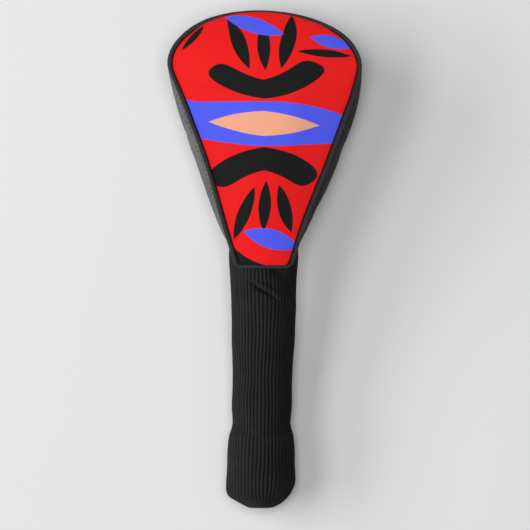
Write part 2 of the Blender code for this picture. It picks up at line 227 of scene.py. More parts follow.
def toe_share(ray):
    """0 on the sides and at the shoulders, 1 at the toe."""
    return np.where(ray < 0, 0.0, ease(math.radians(25), math.radians(88), ray))


def crown_seam(ray, row):
    """Centre line of the crown piping: beside the panel's edge on the sides, under it at the toe."""
    x, y = CROWN_EDGE.at(ray, row)
    out_x, out_y = outward(ray)
    run = PIPING_R + 0.35 * MM
    angle = mix(math.radians(14), math.radians(84), toe_share(ray))
    z = crown_z(x, y) - PIPING_DROP - run * np.sin(angle)
    return np.stack([x + out_x * run * np.cos(angle), y + out_y * run * np.cos(angle), z], -1)


def sole_seam(ray, row):
    x, y = SOLE_EDGE.at(ray, row)
    out_x, out_y = outward(ray)
    run = SOLE_PIPING_R + 0.45 * MM
    return np.stack([x + out_x * run, y + out_y * run, sole_seam_z(y) + 0.9 * MM], -1)


# ---- Meshes ----


def lean(points):
    """Bends the cover a little off straight, as one does on a real club: left at its neck and toe."""
    y = points[..., 1]
    shift = -0.6 * MM * ease(-40 * MM, -8 * MM, y) + 2.5 * MM * ease(15 * MM, 75 * MM, y)
    shift = shift - 2.6 * MM * ease(105 * MM, 150 * MM, y) - 3.9 * MM * ease(150 * MM, 176 * MM, y)
    return points + np.stack([shift, 0 * y, 0 * y], -1)


def unlean(points):
    """Undoes lean, for points taken from a finished mesh."""
    return 2 * points - lean(points)


def add_object(name, data):
    obj = bpy.data.objects.new(name, data)
    bpy.context.scene.collection.objects.link(obj)
    return obj


def new_object(name, points, faces, uv=None):
    """A smooth mesh object; uv holds one pair for each vertex, kept as the layer "flat"."""
    mesh = bpy.data.meshes.new(name)
    mesh.from_pydata(lean(points).tolist(), [], faces.tolist())
    mesh.shade_smooth()
    if uv is not None:
        layer = mesh.uv_layers.new(name="flat")
        corners = np.zeros(len(mesh.loops), dtype=np.int64)
        mesh.loops.foreach_get("vertex_index", corners)
        layer.data.foreach_set("uv", uv[corners].astype(np.float32).ravel())
    return add_object(name, mesh)


def grid_faces(rows, columns, closed=False):
    """Quads of a grid whose vertices are numbered row by row; closed joins its last column to its first."""
    r, c = np.meshgrid(np.arange(rows - 1), np.arange(columns if closed else columns - 1), indexing="ij")
    nxt = (c + 1) % columns
    quads = [r * columns + c, r * columns + nxt, (r + 1) * columns + nxt, (r + 1) * columns + c]
    return np.stack([q.ravel() for q in quads], 1)


def sheet(name, points, flat=None, closed=False, flip=False):
    """An open surface through a grid of points."""
    rows, columns = points.shape[:2]
    faces = grid_faces(rows, columns, closed)
    if flip:
        faces = faces[:, ::-1]
    uv = None if flat is None else flat.reshape(-1, 2)
    return new_object(name, points.reshape(-1, 3), faces, uv)


def solidify(obj, thickness, group=""):
    """Thickens a sheet inwards, less where the group's weights are low, and applies its modifiers."""
    solid = obj.modifiers.new("thickness", "SOLIDIFY")
    solid.thickness = thickness
    solid.offset = -1.0
    solid.vertex_group = group
    solid.thickness_vertex_group = 0.3 if group else 0.0
    graph = bpy.context.evaluated_depsgraph_get()
    shape = obj.evaluated_get(graph)
    mesh = bpy.data.meshes.new_from_object(shape, preserve_all_data_layers=True, depsgraph=graph)
    mesh.name = obj.name
    obj.modifiers.clear()
    obj.data = mesh


def read_vectors(items, attribute):
    values = np.zeros(len(items) * 3)
    items.foreach_get(attribute, values)
    return values.reshape(-1, 3)


def move_vertices(obj, places):
    obj.data.vertices.foreach_set("co", places.ravel())
    obj.data.update()


def weight_group(obj, name, weights):
    group = obj.vertex_groups.new(name=name)
    for i, w in enumerate(weights.ravel()):
        if w > 0:
            group.add([i], float(w), "REPLACE")


def edge_distance(points):
    """Distance of each grid point from the grid's border."""
    border = np.concatenate([points[0], points[:, -1], points[-1, ::-1], points[::-1, 0]])
    border = even_path(border, 5 * len(border))
    reach = [np.linalg.norm(border - p, axis=1).min() for p in points.reshape(-1, 3)]
    return np.array(reach).reshape(points.shape[:2])


def fullness(distance):
    """How full the padding is at a distance from the seam."""
    return 0.3 + 0.7 * ease(0.0, 9 * MM, distance)


CLOTH_FRAMES = 16


def inflate(obj, distance, pressure, slack, cap):
    """Cloth held at its seams and pushed out from inside; no point moves further than cap."""
    weight_group(obj, "seam", (distance < 0.9 * MM).astype(float))
    cloth = obj.modifiers.new("Cloth", "CLOTH")
    settings = cloth.settings
    settings.quality = 6
    settings.mass = 0.15
    settings.tension_stiffness = settings.compression_stiffness = 40
    settings.shear_stiffness = 20
    settings.bending_stiffness = 1.5
    settings.use_pressure = True
    settings.uniform_pressure_force = pressure
    settings.shrink_min = -slack
    settings.effector_weights.gravity = 0
    settings.vertex_group_mass = "seam"
    cloth.collision_settings.use_collision = False
    cloth.point_cache.frame_start = 1
    cloth.point_cache.frame_end = CLOTH_FRAMES
    for number in range(1, CLOTH_FRAMES + 1):
        bpy.context.scene.frame_set(number)
    graph = bpy.context.evaluated_depsgraph_get()
    before = read_vectors(obj.data.vertices, "co")
    step = read_vectors(obj.evaluated_get(graph).data.vertices, "co") - before
    length = np.linalg.norm(step, axis=1, keepdims=True)
    limited = step * np.where(length > 1e-9, cap * np.tanh(length / cap) / np.maximum(length, 1e-9), 0)
    obj.modifiers.clear()
    bpy.context.scene.frame_set(1)
    move_vertices(obj, before + limited)


def pad(obj, distance, depth, corners="ALL"):
    """Smooths the sheet once and gives it padding that thins towards its seams."""
    weight_group(obj, "loft", fullness(distance))
    smooth = obj.modifiers.new("smooth", "SUBSURF")
    smooth.levels = smooth.render_levels = 1
    smooth.boundary_smooth = corners
    solidify(obj, depth, "loft")
    obj.data.set_sharp_from_angle(angle=math.radians(60))


# ---- Panels of the hood ----

CENTRE_Y = 92 * MM  # the side linings are shrunk towards this place on the spine
ACROSS = 61  # points of a panel's grid from side to side
ALONG = 77  # and from its neck to its toe
GRID_SMOOTHING = 150  # passes that spread a panel's grid evenly, mostly near its corners


def path_run(points):
    """How far along a path each of its points lies."""
    return np.concatenate([[0], np.cumsum(np.linalg.norm(np.diff(points, axis=0), axis=1))])


def even_path(points, count, closed=False):
    """Points at even steps along a path, in plan or in space."""
    if closed:
        points = np.concatenate([points, points[:1]])
    length = path_run(points)
    steps = np.linspace(0, length[-1], count, endpoint=not closed)
    return np.stack([np.interp(steps, length, points[:, i]) for i in range(points.shape[1])], 1)


def panel_grid(toe, side, low):
    """Fills a panel's plan outline by blending its four edges. The right half's edges are given:

    toe from the middle to the shoulder, side from there to the neck, low from there to the middle.
    """
    flip = np.array([-1.0, 1.0])
    top = even_path(np.concatenate([toe[::-1] * flip, toe[1:]]), ACROSS)
    bottom = even_path(np.concatenate([low * flip, low[::-1][1:]]), ACROSS)
    right = even_path(side[::-1], ALONG)
    left = right * flip
    u = np.linspace(0, 1, ACROSS)[:, None, None]
    v = np.linspace(0, 1, ALONG)[None, :, None]
    lofted = mix(bottom[:, None], top[:, None], v) + mix(left[None], right[None], u)
    corners = mix(mix(bottom[0], bottom[-1], u), mix(top[0], top[-1], u), v)
    grid = lofted - corners
    for _ in range(GRID_SMOOTHING):
        around = grid[:-2, 1:-1] + grid[2:, 1:-1] + grid[1:-1, :-2] + grid[1:-1, 2:]
        grid[1:-1, 1:-1] = around / 4
    return grid[..., 0], grid[..., 1]


def flat_coordinates(x, y):
    """Plan coordinates as UV."""
    return np.stack([x / FLAT_SPAN + FLAT_ORIGIN[0], y / FLAT_SPAN + FLAT_ORIGIN[1]], -1)


def tongue_corner(start, low_y):
    """The tongue's lower edge: a round corner from the point start, then straight to the middle."""
    depth = start[1] - low_y
    down = (start[0] - 0.13 * depth, start[1] - 0.6 * depth)
    inwards = (TONGUE_CORNER_X + 0.55 * depth, low_y)
    corner = bezier(start, down, inwards, (TONGUE_CORNER_X, low_y), 24)[1:]
    return np.array(corner + [(TONGUE_CORNER_X / 2, low_y), (0.0, low_y)])


TOE_RAYS = 90
TOE_CORNER = 34  # the ray where the crown's and the sole's toe edge ends and their side edge starts
CORNER_MIDDLE = 10  # the point of the tongue's round corner where the crown's side edge ends


def crown_outline(roll):
    """The crown panel's edges for panel_grid; at the toe it rolls this far out over the piping."""
    ray, row = seam_keys(TONGUE_CORNER_Y, TOE_RAYS, 90)
    edge = np.stack(CROWN_EDGE.at(ray, row), -1)
    edge += np.stack(outward(ray), -1) * (roll * toe_share(ray))[:, None]
    edge[0, 0] = 0.0
    low = tongue_corner(edge[-1], TONGUE_Y)
    side = np.concatenate([edge[TOE_CORNER:], low[: CORNER_MIDDLE + 1]])
    return edge[: TOE_CORNER + 1], side, low[CORNER_MIDDLE:]


def unevenness(points, scale, height):
    """A smooth random height for each point, the same on every run."""
    values = [noise.noise(Vector(p) / scale) for p in points.reshape(-1, 3)]
    return np.array(values).reshape(points.shape[:2]) * height


def finish_piece(obj, body, material, slot, *nodes):
    """Gives a piece its material and its body, and hides the CAD nodes that it replaces; slot is not used.
    """
    obj.data.materials.clear()
    obj.data.materials.append(material)
    if body:
        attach(obj, body)
    if nodes:
        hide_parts(*nodes)
    return obj


def make_liner(name, x, y, outline, height, up, material, node):
    """A fleece layer under a crown or sole panel, only where the hood is lined."""
    lined_y = mix(LINED_Y, y.max() - LINER_MARGIN, (y - y.min()) / (y.max() - y.min()))
    widths = [outline.half_width(np.minimum(rows, WIDEST_Y)) for rows in (lined_y, y)]
    x = x * 0.9 * widths[0] / widths[1]
    y = lined_y
    points = np.stack([x, y, height(x, y) - up * LINING_DEPTH], -1)
    obj = sheet(name, points, flat_coordinates(x, y), flip=up > 0)
    solidify(obj, LINING)
    finish_piece(obj, "hood", material, "lining_fleece", node)


def press(obj, depth):
    """Moves each vertex into its surface by its own depth."""
    normals = read_vectors(obj.data.vertex_normals, "vector")
    move_vertices(obj, read_vectors(obj.data.vertices, "co") - normals * depth.reshape(-1, 1))


def make_crown(material, fleece):
    x, y = panel_grid(*crown_outline(0.8 * MM))
    points = np.stack([x, y, crown_z(x, y)], -1)
    distance = edge_distance(points)
    points[..., 2] += unevenness(points, 38 * MM, 0.35 * MM) * ease(0, 12 * MM, distance)
    obj = sheet("crown_cover", points, flat_coordinates(x, y), flip=True)
    inflate(obj, distance, 3.0, 0.004, 1.2 * MM)
    press(obj, 0.55 * MM * np.exp(-distance / (1.4 * MM)))
    pad(obj, distance, PAD)
    finish_piece(obj, "hood", material, "printed_fabric", "crown_panel", "crown_foam")
    make_liner("crown_liner", x, y, CROWN_EDGE, crown_z, 1, fleece, "crown_lining")
    return obj


def make_sole(material, fleece):
    edge = np.stack(SOLE_EDGE.at(*seam_keys(NECK_Y, TOE_RAYS, 90)), -1)
    edge[0, 0] = 0.0
    low = np.stack([np.linspace(edge[-1, 0], 0, 20), np.full(20, edge[-1, 1])], -1)
    x, y = panel_grid(edge[: TOE_CORNER + 1], edge[TOE_CORNER:], low)
    points = np.stack([x, y, sole_z(x, y)], -1)
    distance = edge_distance(points)
    points[..., 2] += 0.7 * MM * np.exp(-distance / (3.0 * MM))
    lifted = ease(1 * MM, 6 * MM, points[..., 2])
    points[..., 2] += unevenness(points, 22 * MM, 0.8 * MM) * lifted * ease(0, 10 * MM, distance)
    obj = sheet("sole_cover", points, flat_coordinates(x, y))
    pad(obj, distance, PAD)
    finish_piece(obj, "hood", material, "black_leather", "sole_panel", "sole_foam")
    make_liner("sole_liner", x, y, SOLE_EDGE, sole_z, -1, fleece, "sole_lining")
    return obj


SIDE_GAP = 0.3 * MM  # from the piping to a side panel's edge
SIDE_OUT = 0.5 * MM  # how far outside the piping's centre that edge lies
MIDDLE_GAP = 0.25 * MM  # from the cover's middle plane to either side panel


def side_points(ray, row, share):
    """A side panel's outer surface, from the crown piping at share 0 to the sole piping at share 1."""
    out = np.stack([*outward(ray), np.zeros_like(ray)], -1)
    top = crown_seam(ray, row) + out * SIDE_OUT
    top[..., 2] -= PIPING_R + SIDE_GAP
    low = sole_seam(ray, row) + out * SIDE_OUT
    low[..., 2] += SOLE_PIPING_R + SIDE_GAP
    girth = np.stack(GIRTH.at(ray, row), -1)
    middle = (top + low) / 2
    bulge = np.maximum(((girth - middle[..., :2]) * out[..., :2]).sum(-1), 0.4 * MM)
    s = share[..., None]
    return mix(top, low, s) + out * (bulge * 4 * share * (1 - share))[..., None]


def side_grid(end_row, toe_count, side_count, across, low=0.0, high=1.0):
    """Grid of a side panel, right side; end_row gives the height in plan where it stops, by share."""
    ray, _ = seam_keys(NECK_Y, toe_count, side_count)
    share = np.linspace(low, high, across)[None, :].repeat(len(ray), 0)
    along = np.linspace(0, 1, side_count + 1)[:, None]
    rows = np.zeros_like(share)
    rows[toe_count:] = mix(POLE_Y, end_row(share[toe_count:]), along)
    ray = ray[:, None].repeat(across, 1)
    points = side_points(ray, rows, share)
    points[..., 0] = np.maximum(points[..., 0], MIDDLE_GAP)
    return points, share


TOPSTITCH = 3.6 * MM  # from a side panel's edge in to its row of stitches


def slanted_end(share):
    """The side panels reach further down beside the tongue than under the sock."""
    return mix(1.0 * MM, NECK_Y - 1 * MM, ease(0.0, 0.5, share))


def mirrored(points, side):
    """A right side panel's points for side 1, and their mirror image for side -1."""
    return points * np.array([side, 1.0, 1.0])


def make_side(side, suffix, material):
    toe_rows, side_rows, columns = ((40, 46, 19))
    points, share = side_grid(slanted_end, toe_rows, side_rows, columns)
    distance = edge_distance(points)
    points = mirrored(points, side)
    inwards = 0.5 * MM * np.exp(-distance / (2.5 * MM))
    points[..., 0] -= side * inwards
    uneven = unevenness(points + side * 0.2, 26 * MM, 0.22 * MM)
    points[..., 0] += side * uneven * ease(0, 8 * MM, distance)
    length = np.linspace(0, 1, points.shape[0])[:, None].repeat(points.shape[1], 1)
    flat = np.stack([length, share * 0.25], -1)
    obj = sheet(f"side_cover_{suffix}", points, flat, flip=side > 0)
    inflate(obj, distance, 2.5, 0.004, 1.3 * MM)
    press(obj, 0.5 * MM * np.exp(-(((distance - TOPSTITCH) / (1.1 * MM)) ** 2)))
    pad(obj, distance, SIDE_PAD, "PRESERVE_CORNERS")
    finish_piece(obj, "hood", material, "black_leather", f"side_panel_{suffix}", f"side_foam_{suffix}")
    return obj


def make_side_liner(side, suffix, fleece):
    points, _ = side_grid(lambda share: np.full_like(share, LINED_Y), 20, 14, 5, 0.22, 0.78)
    points = mirrored(shrink_side(points, SIDE_PAD + 0.5 * MM), side)
    obj = sheet(f"side_liner_{suffix}", points, flip=side > 0)
    solidify(obj, LINING)
    finish_piece(obj, "hood", fleece, "lining_fleece", f"side_lining_{suffix}")


def shrink_side(points, depth):
    """Moves a right side panel's grid inwards by about depth."""
    middle = np.array([0.0, CENTRE_Y, 0.0])
    flat = points[..., :2] - middle[:2]
    reach = np.linalg.norm(flat, axis=-1, keepdims=True)
    moved = points.copy()
    moved[..., :2] = middle[:2] + flat * (1 - depth / reach)
    moved[..., 0] = np.maximum(moved[..., 0] - depth * 0.4 * (points[..., 1] < CENTRE_Y), MIDDLE_GAP)
    return moved


# ---- Piping and stitches ----


def tube(name, path, radius, closed, sides):
    """A round cord along a path; radius is a number or one for each point."""
    ahead, behind = np.roll(path, -1, 0), np.roll(path, 1, 0)
    if not closed:
        ahead[-1], behind[0] = path[-1], path[0]
    tangent = ahead - behind
    tangent /= np.linalg.norm(tangent, axis=1, keepdims=True)
    side = np.cross(tangent, [0, 0, 1.0])
    side /= np.linalg.norm(side, axis=1, keepdims=True)
    up = np.cross(side, tangent)
    turn = np.linspace(0, 2 * math.pi, sides, endpoint=False)
    radius = np.broadcast_to(radius, len(path))[:, None, None]
    ring = np.cos(turn)[None, :, None] * side[:, None] + np.sin(turn)[None, :, None] * up[:, None]
    points = path[:, None] + ring * radius
    rows = len(path)
    faces = grid_faces(rows, sides, True)
    if closed:
        last = (rows - 1) * sides + np.arange(sides)
        first = np.arange(sides)
        faces = np.concatenate([faces, np.stack([last, np.roll(last, -1), np.roll(first, -1), first], 1)])
    obj = new_object(name, points.reshape(-1, 3), faces[:, ::-1])
    if not closed:
        cap_ends(obj)
    return obj


def cap_ends(obj):
    """Fills the open ends of a mesh."""
    shape = bmesh.new()
    shape.from_mesh(obj.data)
    bmesh.ops.holes_fill(shape, edges=shape.edges[:], sides=0)
    bmesh.ops.recalc_face_normals(shape, faces=shape.faces[:])
    shape.to_mesh(obj.data)
    shape.free()


def whole_loop(half):
    """A closed loop from its right half, from the toe end round to the neck; both ends have x = 0."""
    return np.concatenate([half, half[-2:0:-1] * MIRROR])


def whole_path(half):
    """An open path round the toe from its right half, which starts at the toe end with x = 0."""
    return np.concatenate([half[:0:-1] * MIRROR, half])


TONGUE_TUCK = 1.0 * MM  # how far out and down the piping lies from the tongue's lower edge


def at_tongue(y):
    """1 along the tongue's lower edge and 0 up the sides."""
    return ease(TONGUE_CORNER_Y + 2 * MM, TONGUE_Y - 0.5 * MM, y)


def crown_seam_loop():
    """The whole centre line of the crown piping, round the tongue as well."""
    half = crown_seam(*seam_keys(TONGUE_CORNER_Y, 120, 120))
    half[0, 0] = 0.0
    tongue = tongue_corner(half[-1][:2], TONGUE_Y - TONGUE_TUCK)
    panel_half = CROWN_EDGE.half_width(TONGUE_Y)
    z = crown_z(np.minimum(tongue[:, 0], panel_half), np.full(len(tongue), TONGUE_Y)) - PIPING_DROP
    z = z - TONGUE_TUCK * at_tongue(tongue[:, 1])
    return whole_loop(np.concatenate([half, np.column_stack([tongue, z])]))


def make_piping(material):
    path = even_path(crown_seam_loop(), 520, True)
    wander = np.array([noise.noise(Vector(p) / (7 * MM)) for p in path])
    radius = mix(PIPING_R, TONGUE_PIPING_R, at_tongue(path[:, 1])) * (1.02 + 0.05 * wander)
    obj = tube("crown_welt", path, radius, True, 14)
    crown_welt = finish_piece(obj, "hood", material, "black_leather", "crown_piping")
    half = sole_seam(*seam_keys(NECK_Y, 100, 90))
    half[0, 0] = 0.0
    obj = tube("sole_welt", even_path(whole_path(half), 400), SOLE_PIPING_R * 1.02, False, 10)
    return crown_welt, finish_piece(obj, "hood", material, "black_leather", "sole_piping")


def on_surface(piece, path):
    """The nearest points of a piece's surface to a path, and the surface's normals there."""
    found = [piece.closest_point_on_mesh(Vector(p)) for p in lean(path)]
    return np.array([f[1] for f in found]), np.array([f[2] for f in found])


STITCH = 2.4 * MM
STITCH_GAP = 1.0 * MM
THREAD_R = 0.24 * MM


def make_stitches(name, pieces, path, material):
    """Thread stitches along a path: short bent capsules that dip into the nearest piece at their ends."""
    count = int(path_run(path)[-1] / (STITCH + STITCH_GAP)) * 2
    path = even_path(path, count)
    places, normals = zip(*(on_surface(piece, path) for piece in pieces))
    reach = [np.linalg.norm(place - lean(path), axis=1) for place in places]
    nearest = np.argmin(reach, axis=0)
    rows = np.arange(count)
    place, normal = np.array(places)[nearest, rows], np.array(normals)[nearest, rows]
    rings, sides = 7, 6
    turn = np.linspace(0, 2 * math.pi, sides, endpoint=False)
    t = np.linspace(-1, 1, rings)
    width = THREAD_R * np.sqrt(np.clip(1.02 - t**4, 0.04, 1))
    points, faces = [], []
    for k in range(1, count - 1, 2):
        along = place[k + 1] - place[k - 1]
        along = along / np.linalg.norm(along)
        side = np.cross(along, normal[k])
        middle = place[k] + np.outer(t, along) * STITCH / 2 + np.outer(0.7 - t * t, normal[k]) * THREAD_R
        ring = np.cos(turn)[:, None] * side + np.sin(turn)[:, None] * normal[k]
        faces.append(grid_faces(rings, sides, True) + len(points) * rings * sides)
        points.append((middle[:, None] + width[:, None, None] * ring[None]).reshape(-1, 3))
    obj = new_object(name, unlean(np.concatenate(points)), np.concatenate(faces))
    cap_ends(obj)
    finish_piece(obj, "hood", material, "black_leather")


def seam_stitches(covers, material):
    """The rows on the side panels beside their seams."""
    for name, share in (("upper", 0.115), ("lower", 0.9)):
        grid, _ = side_grid(slanted_end, 60, 60, 2, share, share + 0.01)
        make_stitches(f"side_stitches_{name}", covers, whole_path(grid[:, 0]), material)


# ---- The knit sock ----


def sock_axis(y):
    """Centre of the sock's section at y, as x and z."""
    x = SOCK_DRIFT * ease(20 * MM, MOUTH_Y, y)
    return x, mix(NECK_AXIS_Z, CUFF_AXIS_Z, ease(0.0, CUFF_HEM_Y + 8 * MM, y))


def sock_half_sizes(y):
    """Half width and half height of the sock's outside, with a little slack in the knit."""
    slack = ease(-30 * MM, -12 * MM, y)
    run = ease(-30 * MM, CUFF_HEM_Y, y)
    under_hood = ease(NECK_Y - 4 * MM, NECK_Y + 4 * MM, y)
    wave = 0.3 * MM * np.sin(y / (9 * MM)) + 0.2 * MM * np.sin(y / (5.3 * MM) + 1)
    wave = wave * (1 - under_hood) * ease(END_TOP_Y, END_TOP_Y + 12 * MM, y)
    half_width = mix(21.9 * MM, 19.9 * MM, run) + 1.5 * MM * (slack - under_hood) + wave
    half_height = mix(17.6 * MM, 16.2 * MM, run) + 0.7 * MM * slack + wave * 0.6
    return half_width, half_height


# Soft creases on top of the sock, in mm and degrees: x, y, direction, half length, width and depth.
CREASES = (
    (-0.4, -20.6, -30, 11, 1.3, 2.8),
    (12.6, -10.7, -31, 8, 2.8, 2.1),
    (-12, -30, 15, 6, 2.2, 0.45),
    (6, -37, -12, 8, 2.4, 0.45),
    (-4, -74, 10, 9, 3, 0.4),
    (-10, -118, -32, 9, 2.2, 0.6),
    (5, -121, 4, 10, 2.2, 0.35),
)


def crease_depth(x, y):
    """How deep the knit is pressed in at x and y; below 0 on the ridge beside a crease."""
    depth = np.zeros_like(x)
    for middle_x, middle_y, degrees, reach, width, deep in CREASES:
        turn = math.radians(degrees)
        dx, dy = x / MM - middle_x, y / MM - middle_y
        along = dx * math.cos(turn) + dy * math.sin(turn)
        across = dy * math.cos(turn) - dx * math.sin(turn)
        fade = np.exp(-((along / reach) ** 4))
        valley = np.exp(-((across / width) ** 2))
        ridge = np.exp(-(((across - 2.1 * width) / (1.3 * width)) ** 2))
        depth += deep * MM * fade * (valley - 0.5 * ridge)
    return depth


def hem_relief(x, y):
    """The turned-in end's hem shows through the cuff as a low curved ridge under a soft hollow."""
    hem = -118 * MM - 4.6 * MM * (1 - (x / (23 * MM)) ** 2)
    ridge = np.exp(-(((y - hem + 1.6 * MM) / (2.2 * MM)) ** 2))
    hollow = np.exp(-(((y - hem - 2.2 * MM) / (2.2 * MM)) ** 2))
    return 0.4 * MM * ridge - 0.7 * MM * hollow


def rib_wave(phase):
    """0 in the gap between two ribs and 1 on a rib's back."""
    return 1 - np.abs(2 * (phase % 1.0) - 1) ** 2.4


def knit_points(y, half_width, half_height, height, columns):
    """Rings of the ribbed tube; height is the ribs' height on each ring."""
    turn = np.linspace(0, 2 * math.pi, columns, endpoint=False)[None, :]
    y = y[:, None]
    wander = 0.12 * np.sin(y / (13 * MM) + 3 * turn) + 0.08 * np.sin(y / (6 * MM) - 5 * turn)
    phase = RIBS * turn / (2 * math.pi) + wander
    a, b = half_width[:, None], half_height[:, None]
    cx, cz = sock_axis(y)
    nx, nz = np.cos(turn) / a, np.sin(turn) / b
    size = np.hypot(nx, nz)
    nx, nz = nx / size, nz / size
    lift = (rib_wave(phase) - 1) * height[:, None]
    x = cx + a * np.cos(turn)
    upper = ease(-0.1, 0.5, np.sin(turn))
    grid_y = y + 0 * turn
    lift = lift + (hem_relief(x, grid_y) - crease_depth(x, grid_y)) * upper
    ripple = np.sin(y / (4.1 * MM) + 2.2 * np.sin(turn * 2 + 1)) * 0.14 * MM
    lift = lift + ripple * ease(SOCK_TOP_Y, 0, y)
    uneven = 0.115 * ease(-128 * MM, -152 * MM, y) * ease(MOUTH_Y + 2 * MM, -158 * MM, y)
    points = np.stack([x + nx * lift, y + uneven * (x - cx), cz + b * np.sin(turn) + nz * lift], -1)
    return points, phase


def knit_sheet(name, y, half_width, half_height, height, row_length):
    """A length of the knit as a mesh, its UV in ribs across and in stitch rows along."""
    points, phase = knit_points(y, half_width, half_height, height, RIBS * RIB_POINTS)
    flat = np.stack([phase / FLAT_RIBS, row_length[:, None] / FLAT_LENGTH + 0 * phase], -1)
    obj = sheet_with_seam(name, points, flat)
    solidify(obj, KNIT)
    obj.data.set_sharp_from_angle(angle=math.radians(65))
    return obj


def sheet_with_seam(name, points, flat):
    """A closed tube whose UV doesn't run backwards across its last column."""
    rows, columns = points.shape[:2]
    faces = grid_faces(rows, columns, True)
    obj = new_object(name, points.reshape(-1, 3), faces)
    layer = obj.data.uv_layers.new(name="flat")
    uv = flat.reshape(-1, 2)[faces.ravel()].reshape(-1, 4, 2)
    wrap = (uv[:, :, 0].max(1) - uv[:, :, 0].min(1)) > 0.5
    low = uv[wrap, :, 0] < 0.4
    uv[wrap, :, 0] = np.where(low, uv[wrap, :, 0] + RIBS / FLAT_RIBS, uv[wrap, :, 0])
    layer.data.foreach_set("uv", uv.astype(np.float32).ravel())
    return obj


# The cuff from its top, round the mouth to its inner hem: y, half width and half height in mm.
CUFF_PROFILE = (
    (END_TOP_Y / MM, 20.1, 16.4),
    (-116, 20.9, 17.0),
    (-120.5, 22.2, 18.0),
    (-128, 22.9, 18.6),
    (-142, 23.5, 19.2),
    (-152, 23.9, 19.4),
    (-157, 23.3, 19.1),
    (-161, 21.2, 17.7),
    (-164.5, 17.8, 15.4),
    (-167.4, 13.7, 12.2),
    (-169.1, 10.4, 9.8),
    (MOUTH_Y / MM, 8.4, 8.2),
    (-169.4, 7.2, 7.1),
    (-167.4, 6.9, 6.8),
    (-164.6, 8.2, 7.8),
    (-160, 13.6, 11.8),
    (-155, 18.0, 14.4),
    (-142, 18.6, 15.0),
    (-129, 19.0, 15.2),
    (CUFF_HEM_Y / MM, 18.6, 14.6),
)
CUFF_LENGTH = 125 * MM  # about the length of that profile
CUFF_OUTSIDE = 48 * MM  # and of its stretch before the mouth's inside


def curve_through(points, count):
    """A smooth curve through points, at even steps along it (Catmull-Rom)."""
    p = np.concatenate([[2 * points[0] - points[1]], points, [2 * points[-1] - points[-2]]])
    fine = []
    for k in range(1, len(p) - 2):
        t = np.linspace(0, 1, 24, endpoint=False)[:, None]
        a, b, c, d = p[k - 1], p[k], p[k + 1], p[k + 2]
        fine.append(
            0.5 * (2 * b + (c - a) * t + (2 * a - 5 * b + 4 * c - d) * t**2 + (3 * b - a - 3 * c + d) * t**3)
        )
    return even_path(np.concatenate(fine + [points[-1:]]), count)


def ring_places(top, low, step):
    """Where the knit's rings lie along it, closer together where the creases are."""
    fine = np.linspace(top, low, 1000)
    closeness = 1 + 1.3 * ease(-44 * MM, -36 * MM, fine) * ease(2 * MM, -6 * MM, fine)
    rings = int((top - low) * closeness.mean() / step)
    run = np.cumsum(closeness)
    return np.interp(np.linspace(run[0], run[-1], rings), run, fine)


def make_upper_knit(material):
    y = ring_places(SOCK_TOP_Y, KNIT_SPLIT_Y, RING_STEP)
    upper = knit_sheet("knit_upper", y, *sock_half_sizes(y), np.full_like(y, RIB_HEIGHT), SOCK_TOP_Y - y)
    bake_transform(upper)
    return finish_piece(upper, None, material, "rib_knit", "knit_collar", "knit_neck_bend")


def make_lower_knit(material):
    """The lower half of the knit and the cuff; its ribs are lower where the mouth gathers them."""
    y = np.linspace(KNIT_SPLIT_Y, END_TOP_Y, int((KNIT_SPLIT_Y - END_TOP_Y) / RING_STEP))
    cuff_step = 0.75 * RING_STEP
    cuff = curve_through(np.array(CUFF_PROFILE) * MM, int(CUFF_LENGTH / cuff_step))
    rows = np.concatenate([np.stack([y, *sock_half_sizes(y)], 1), cuff[1:]])
    gathered = ease(8 * MM, 17 * MM, rows[:, 1])
    inside = (rows[:, 1] < 19.5 * MM) & (np.arange(len(rows)) > len(y) + CUFF_OUTSIDE / cuff_step)
    height = RIB_HEIGHT * mix(0.35, 1.0, gathered) * np.where(inside, 0.7, 1.0)
    lower = knit_sheet("knit_lower", *rows.T, height, SOCK_TOP_Y - KNIT_SPLIT_Y + path_run(rows))
    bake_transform(lower)
    return finish_piece(lower, None, material, "rib_knit", "knit_tube", "knit_cuff_bend", "cuff")


BAND = 0.9 * MM


def make_band(name, node, body, material, slot):
    """An elastic or tape ring in the place of its node, with a slight wave where it is sewn down."""
    low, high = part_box(node)
    middle, half = (low + high) / 2, (high - low) / 2
    columns, rows = 120, 9
    turn = np.linspace(0, 2 * math.pi, columns, endpoint=False)[None, :]
    y = np.linspace(high.y, low.y, rows)[:, None]
    wave = 0.15 * MM * np.sin(turn * 30) * np.sin(np.linspace(0, math.pi, rows))[:, None]
    cx, cz = sock_axis(y)
    x = cx + (half.x - 0.3 * MM + wave) * np.cos(turn)
    z = cz + (half.z - abs(cz - middle.z).max() - 0.3 * MM + wave) * np.sin(turn)
    points = np.stack([x, y + 0 * turn, z], -1)
    flat = np.stack([turn / 7 + 0 * y, (y - low.y) * 20 + 0 * turn], -1)
    obj = sheet(name, points, flat, closed=True)
    solidify(obj, BAND)
    finish_piece(obj, body, material, slot, node)


# ---- Materials ----


